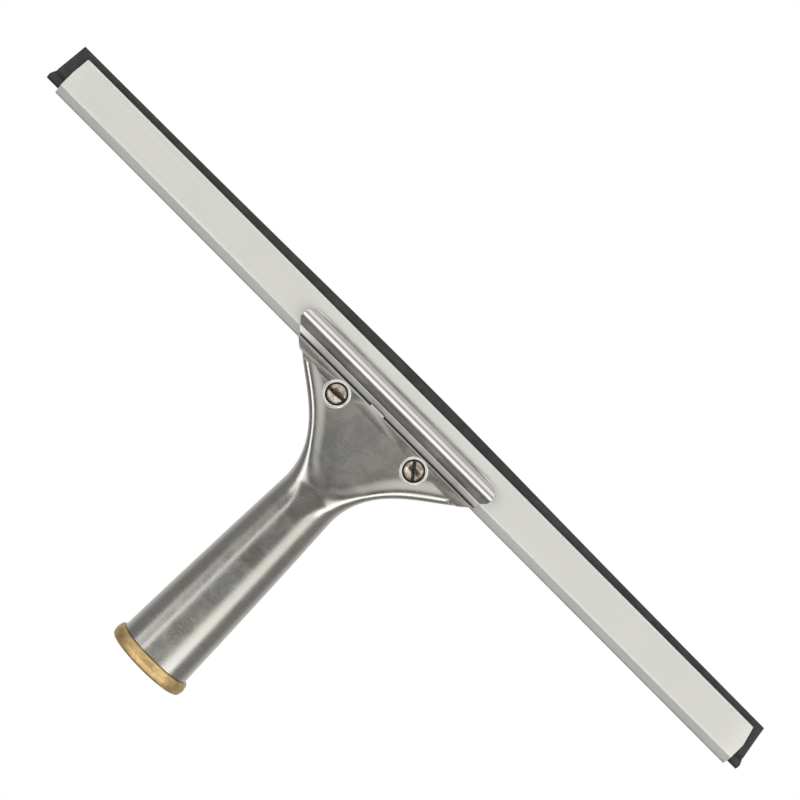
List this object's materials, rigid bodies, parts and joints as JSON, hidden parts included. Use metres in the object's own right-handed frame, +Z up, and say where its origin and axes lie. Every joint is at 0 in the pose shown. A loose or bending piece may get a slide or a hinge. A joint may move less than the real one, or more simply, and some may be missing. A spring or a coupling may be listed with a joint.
{
  "type": "window cleaning squeegee",
  "caption": "Window cleaning squeegee: long folded channel with a black rubber blade, held by screw-clamped jaws on a flared tapered tube handle with a brass pole ferrule",
  "frame": {"origin": "middle of the bounding box in X and Y, on the surface that the tool lies on", "axes": "+X along the blade, +Y from the handle towards the rubber, +Z up out of the front of the head; the tool lies on its back"},
  "size_m": [0.3608, 0.1476, 0.0341],
  "materials": {
    "handle_steel": "tumbled satin with fine scratches",
    "jaw_steel": "semi-bright, rolled",
    "channel_steel": "pale satin",
    "nickel": "bright, worn nickel plate",
    "black_rubber": "matt",
    "ferrule_brass": "satin, tumbled"
  },
  "bodies": {
    "handle": {"handle_shell": "handle_steel", "lower_jaw": "jaw_steel", "tee_nuts": "nickel", "pole_ferrule": "ferrule_brass"},
    "upper_jaw": {"upper_jaw": "jaw_steel"},
    "left_screw": {"left_screw": "nickel"},
    "right_screw": {"right_screw": "nickel"},
    "channel": {"channel": "channel_steel"},
    "rubber": {"rubber_blade": "black_rubber"}
  },
  "joints": [
    {"name": "jaw_lift", "type": "slide", "parent": "handle", "child": "upper_jaw", "axis": [0, 0.0698, 0.9976], "range_m": [0, 0.0012]},
    {"name": "left_screw_turn", "type": "hinge", "parent": "upper_jaw", "child": "left_screw", "pos_m": [-0.0217, 0.0478, 0.00882], "axis": [0, 0.0698, 0.9976], "range_deg": [0, 541]},
    {"name": "right_screw_turn", "type": "hinge", "parent": "upper_jaw", "child": "right_screw", "pos_m": [0.0183, 0.0478, 0.00882], "axis": [0, 0.0698, 0.9976], "range_deg": [0, 541]},
    {"name": "channel_slide", "type": "slide", "parent": "handle", "child": "channel", "axis": [1, 0, 0], "range_m": [-0.126, 0.126]},
    {"name": "rubber_slide", "type": "slide", "parent": "channel", "child": "rubber", "axis": [1, 0, 0], "range_m": [-0.175, 0.175]}
  ],
  "couplings": [
    {"joint": "left_screw_turn", "follows": "jaw_lift", "rad_per_m": 7854},
    {"joint": "right_screw_turn", "follows": "jaw_lift", "rad_per_m": 7854}
  ]
}
